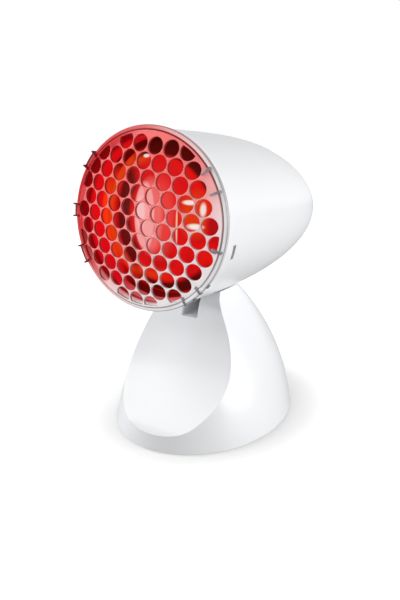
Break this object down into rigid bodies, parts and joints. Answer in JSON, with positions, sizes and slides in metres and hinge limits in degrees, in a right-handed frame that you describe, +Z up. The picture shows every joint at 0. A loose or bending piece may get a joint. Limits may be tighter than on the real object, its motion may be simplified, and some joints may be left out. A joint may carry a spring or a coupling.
{
  "type": "infrared heat therapy lamp",
  "caption": "Table lamp for infrared heat therapy: a bullet-shaped head with a clear domed grille over a red reflector bulb tips on a flared base with a scooped front.",
  "frame": {"origin": "on the table under the middle of the lamp", "axes": "+Z up, the grille faces -Y, +X to the right as seen from the front"},
  "size_m": [0.1238, 0.1798, 0.2034],
  "materials": {
    "white_shell": "satin",
    "clear_plastic": "gloss",
    "red_glass": "gloss",
    "clear_glass": "gloss",
    "tungsten": "satin",
    "gray_plastic": "matte",
    "black_plastic": "satin",
    "shield_aluminium": "satin",
    "steel": "satin",
    "ballast_iron": "matte",
    "brass": "satin",
    "porcelain": "satin",
    "rubber": "matte",
    "cable_sheath": "matte"
  },
  "bodies": {
    "base": {"base_shell": "white_shell", "slot_frame": "white_shell", "pivot_axle": "steel", "axle_clip_left": "steel", "axle_clip_right": "steel", "base_plate": "gray_plastic", "ballast_plate": "ballast_iron", "detent_post": "shield_aluminium", "detent_spring": "steel", "switch_housing": "black_plastic", "switch_terminal_left": "brass", "switch_terminal_right": "brass", "terminal_block": "black_plastic", "cord_gland": "gray_plastic", "base_cable": "cable_sheath", "post_screw_1": "steel", "post_screw_2": "steel", "base_screw_1": "steel", "base_screw_2": "steel", "base_screw_3": "steel", "base_screw_4": "steel", "rubber_foot_1": "rubber", "rubber_foot_2": "rubber", "rubber_foot_3": "rubber", "rubber_foot_4": "rubber"},
    "head": {"head_shell": "white_shell", "heat_shield": "shield_aluminium", "lamp_bracket": "steel", "bracket_screw_left": "steel", "bracket_screw_right": "steel", "socket_body": "porcelain", "socket_shell": "brass", "socket_contact": "brass", "bulb_glass": "red_glass", "bulb_cap": "brass", "bulb_insulator": "black_plastic", "bulb_contact": "brass", "bulb_stem": "clear_glass", "bulb_filament": "tungsten", "pivot_arm": "gray_plastic", "arm_screw_left": "steel", "arm_screw_right": "steel", "detent_quadrant": "steel", "pivot_bush": "brass", "head_cable": "cable_sheath"},
    "guard": {"grille": "clear_plastic", "grille_ring": "clear_plastic"},
    "plunger": {"detent_plunger": "steel"},
    "rocker": {"switch_rocker": "black_plastic"}
  },
  "joints": [
    {"name": "head_tilt", "type": "hinge", "parent": "base", "child": "head", "pos_m": [0, 0.00982, 0.086], "axis": [-1, 0, 0], "range_deg": [0, 20]},
    {"name": "grille_off", "type": "slide", "parent": "head", "child": "guard", "axis": [0, -0.998, 0.063], "range_m": [0, 0.06]},
    {"name": "plunger_press", "type": "slide", "parent": "base", "child": "plunger", "axis": [0, 0, -1], "range_m": [0, 0.001], "stiffness_N_per_m": 800, "springref_m": -0.001, "deforming": ["detent_spring"]},
    {"name": "switch_rock", "type": "hinge", "parent": "base", "child": "rocker", "pos_m": [0, 0.05909, 0.034], "axis": [1, 0, 0], "range_deg": [0, 14]}
  ]
}
